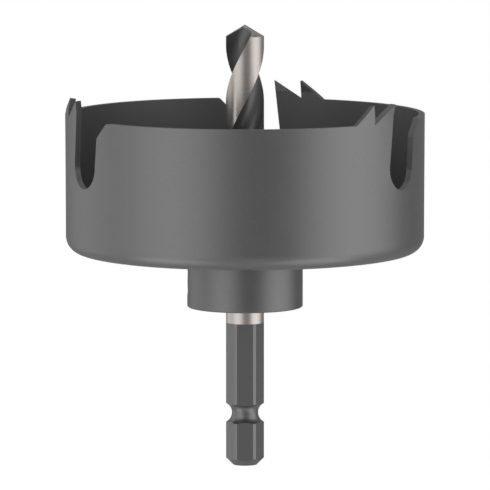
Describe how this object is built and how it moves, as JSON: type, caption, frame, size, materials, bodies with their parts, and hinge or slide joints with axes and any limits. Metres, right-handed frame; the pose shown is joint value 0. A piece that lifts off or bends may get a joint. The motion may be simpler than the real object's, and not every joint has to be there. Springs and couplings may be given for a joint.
{
  "type": "hole saw",
  "caption": "Shallow coated steel hole saw cup with set teeth and deep gullets, a hub, a twist pilot drill and a grooved hex quick-change shank.",
  "frame": {"origin": "centre of the flat end of the hex shank", "axes": "+Z along the axis of rotation, from the shank to the drill's point; -Y is the side that faces the camera; the saw turns from -Y towards +X"},
  "size_m": [0.066, 0.066, 0.0813],
  "materials": {
    "coated_cup": "satin dark grey coating on drawn sheet steel",
    "coated_hub": "satin dark grey coating on turned steel",
    "drill_steel": "ground bright lands, point and neck, with black oxide in the flutes and on the hex",
    "screw_steel": "black oxide"
  },
  "bodies": {
    "root": {"saw_cup": "coated_cup", "hub": "coated_hub", "pilot_drill": "drill_steel", "set_screw": "screw_steel"}
  },
  "joints": []
}
